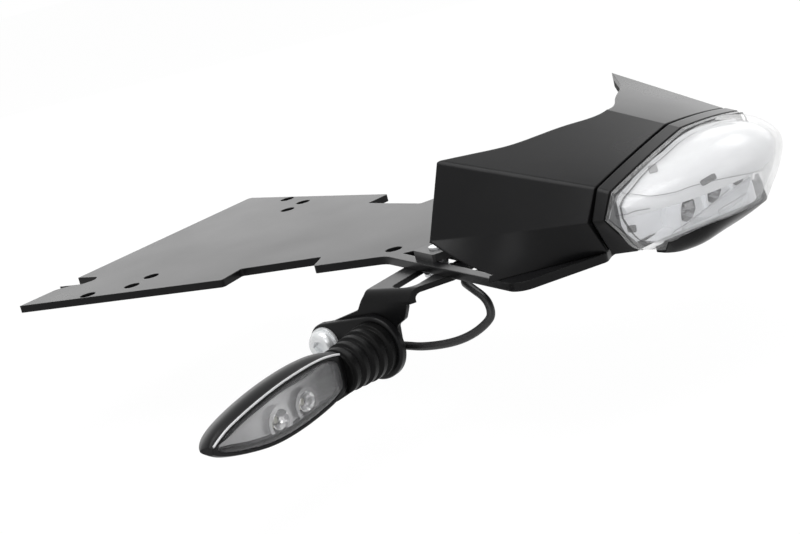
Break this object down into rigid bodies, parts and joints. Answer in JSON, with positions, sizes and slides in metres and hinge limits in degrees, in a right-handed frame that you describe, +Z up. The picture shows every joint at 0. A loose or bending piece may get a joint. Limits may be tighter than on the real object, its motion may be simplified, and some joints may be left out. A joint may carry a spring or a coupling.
{
  "type": "tail tidy",
  "caption": "Black plate and folded cover that carry a clear tail light, with an indicator on a slotted strap below one wing and its cable.",
  "frame": {"origin": "midway between the two front bolt holes, on the mounting plate's top face", "axes": "+X to the rear, where the light is; +Y to the side without the indicator; +Z up, out of the plate's top face"},
  "size_m": [0.3052, 0.2441, 0.0729],
  "materials": {
    "black_plastic": "satin",
    "black_powder_coat": "satin powder coat",
    "black_rubber": "matt",
    "black_steel": "satin",
    "board_green": "matt",
    "cable_sheath": "satin",
    "clear_bar": "clear, polished",
    "clear_lens": "clear, polished",
    "dark_window": "dark, glossy",
    "led_pale": "matt",
    "pale_plastic": "bright, glossy",
    "smoke_lens": "smoke grey, polished",
    "zinc_steel": "zinc plated"
  },
  "bodies": {
    "root": {"bracket_bolt": "zinc_steel", "bracket_slot_nut": "black_steel", "bracket_washer": "zinc_steel", "cable_grommet": "black_rubber", "indicator_base": "black_plastic", "indicator_board": "board_green", "indicator_bolt": "zinc_steel", "indicator_bracket": "black_powder_coat", "indicator_cable": "cable_sheath", "indicator_housing": "black_plastic", "indicator_led_1": "led_pale", "indicator_led_2": "led_pale", "indicator_lens": "smoke_lens", "indicator_nut": "zinc_steel", "indicator_reflector": "pale_plastic", "indicator_stalk": "black_rubber", "indicator_washer": "zinc_steel", "lamp_screw_far": "zinc_steel", "lamp_screw_near": "zinc_steel", "light_box_shell": "black_powder_coat", "mounting_plate": "black_powder_coat", "number_plate_light_guide": "clear_bar", "number_plate_window": "dark_window", "shell_nut_far": "zinc_steel", "shell_nut_near": "zinc_steel", "shell_screw_far": "zinc_steel", "shell_screw_near": "zinc_steel", "tail_light_board": "board_green", "tail_light_housing": "black_plastic", "tail_light_led_far": "led_pale", "tail_light_led_middle": "led_pale", "tail_light_led_near": "led_pale", "tail_light_lens": "clear_lens", "tail_light_reflector": "pale_plastic", "tail_light_seal": "black_rubber"}
  },
  "joints": []
}
